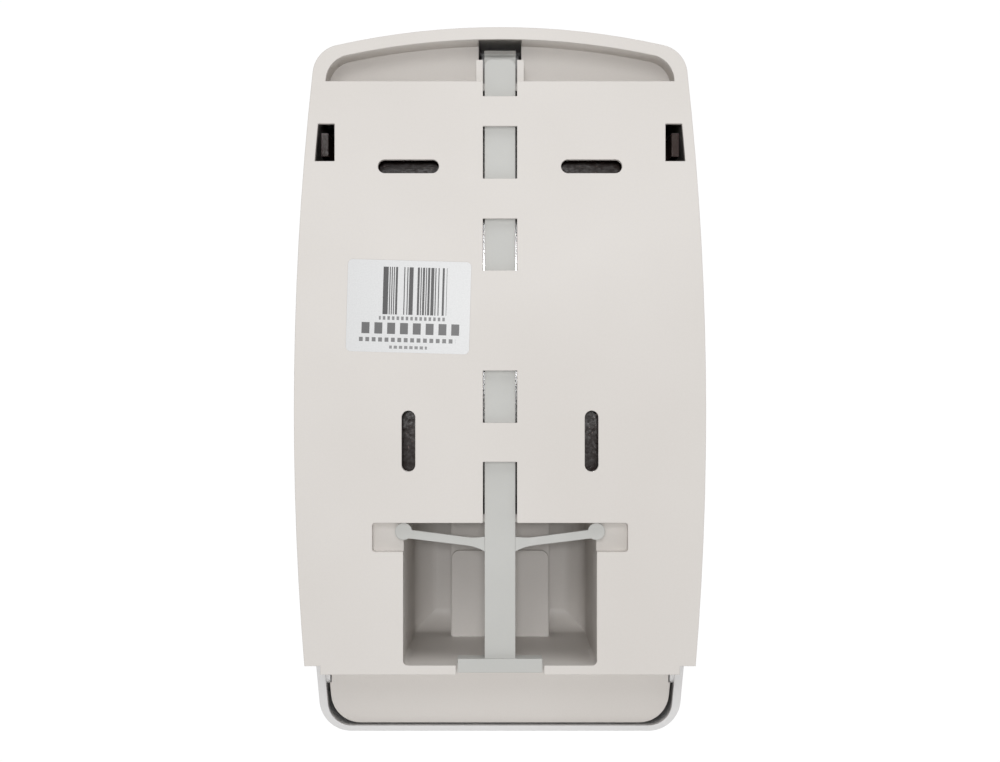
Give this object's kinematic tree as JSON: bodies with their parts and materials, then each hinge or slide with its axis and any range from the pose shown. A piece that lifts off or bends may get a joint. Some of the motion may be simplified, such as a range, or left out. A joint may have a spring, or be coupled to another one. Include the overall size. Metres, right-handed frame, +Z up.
{
  "type": "wall mounted soap dispenser",
  "caption": "Wall mounted liquid soap dispenser with a slotted back plate, spring release slider, hinged front cover, push lever, refillable tank and plunger pump.",
  "frame": {"origin": "centre of the four screw slots, on the housing's back face, where it meets the wall", "axes": "+Z up, +Y into the wall, the front faces -Y, +X to the right seen from the front"},
  "size_m": [0.135, 0.115, 0.237],
  "materials": {
    "housing_white": "satin",
    "cover_white": "gloss",
    "slider_grey": "satin",
    "smoke_clear": "gloss",
    "pin_steel": "satin",
    "spring_steel": "satin",
    "ball_steel": "polished",
    "pump_natural": "satin",
    "pump_grey": "satin",
    "seal_rubber": "matte",
    "valve_silicone": "satin",
    "label_paper": "satin"
  },
  "bodies": {
    "housing": {"rear_housing": "housing_white", "hinge_pin_left": "pin_steel", "hinge_pin_right": "pin_steel", "soap_tank": "smoke_clear", "pump_body": "pump_natural", "pump_cap": "pump_grey", "cap_seal": "seal_rubber", "inlet_gasket": "seal_rubber", "inlet_collar": "pump_grey", "outlet_valve": "valve_silicone", "soap_nozzle": "pump_grey", "plunger_spring": "spring_steel", "release_spring": "slider_grey", "back_label": "label_paper"},
    "cover": {"front_cover": "cover_white", "level_window": "smoke_clear", "lever_rod": "pin_steel"},
    "lever": {"push_lever": "cover_white"},
    "plunger": {"pump_plunger": "pump_natural", "piston_seal": "seal_rubber"},
    "slider": {"release_slider": "slider_grey"},
    "lid": {"tank_lid": "smoke_clear", "lid_seal": "seal_rubber"},
    "ball": {"inlet_ball": "ball_steel"}
  },
  "joints": [
    {"name": "cover_hinge", "type": "hinge", "parent": "housing", "child": "cover", "pos_m": [0, -0.04, -0.127], "axis": [1, 0, 0], "range_deg": [0, 80]},
    {"name": "lever_hinge", "type": "hinge", "parent": "cover", "child": "lever", "pos_m": [0, -0.101, -0.066], "axis": [1, 0, 0], "range_deg": [0, 10], "stiffness_Nm_per_rad": 1.2, "springref_deg": -6.88},
    {"name": "pump_stroke", "type": "slide", "parent": "housing", "child": "plunger", "axis": [0, 1, 0], "range_m": [0, 0.007], "stiffness_N_per_m": 50, "springref_m": -0.004, "deforming": ["plunger_spring"]},
    {"name": "release_slide", "type": "slide", "parent": "housing", "child": "slider", "axis": [0, 0, 1], "range_m": [0, 0.0035], "stiffness_N_per_m": 1000, "springref_m": -0.002, "deforming": ["release_spring"]},
    {"name": "lid_lift", "type": "slide", "parent": "housing", "child": "lid", "axis": [0, 0, 1], "range_m": [0, 0.012]},
    {"name": "ball_lift", "type": "slide", "parent": "housing", "child": "ball", "axis": [0, 0, 1], "range_m": [0, 0.0042]}
  ],
  "couplings": [
    {"joint": "pump_stroke", "follows": "lever_hinge", "m_per_rad": 0.04}
  ]
}
